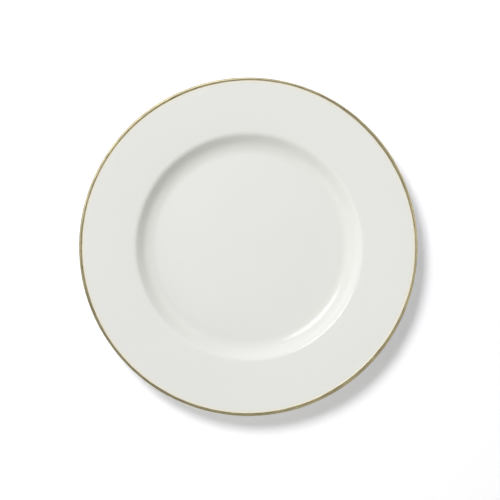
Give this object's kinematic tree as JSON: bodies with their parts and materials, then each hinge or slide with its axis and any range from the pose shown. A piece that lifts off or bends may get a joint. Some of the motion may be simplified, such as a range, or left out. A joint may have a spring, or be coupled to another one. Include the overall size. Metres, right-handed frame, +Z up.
{
  "type": "dinner plate",
  "caption": "Round china dinner plate with a broad sloping flange, a shallow well, a foot ring and a gold line over its rounded lip.",
  "frame": {"origin": "centre of the foot ring's bearing plane, on the plate's axis of revolution", "axes": "+Z up along the axis of revolution, towards the side that food is served on; +X and +Y are equivalent"},
  "size_m": [0.2702, 0.2702, 0.0211],
  "materials": {
    "fired_china": "matte",
    "clear_glaze": "polished",
    "gilding": "gloss",
    "mark_gilding": "satin"
  },
  "bodies": {
    "root": {"china_body": "fired_china", "main_glaze": "clear_glaze", "base_glaze": "clear_glaze", "gold_rim_band": "gilding", "backstamp": "mark_gilding"}
  },
  "joints": []
}
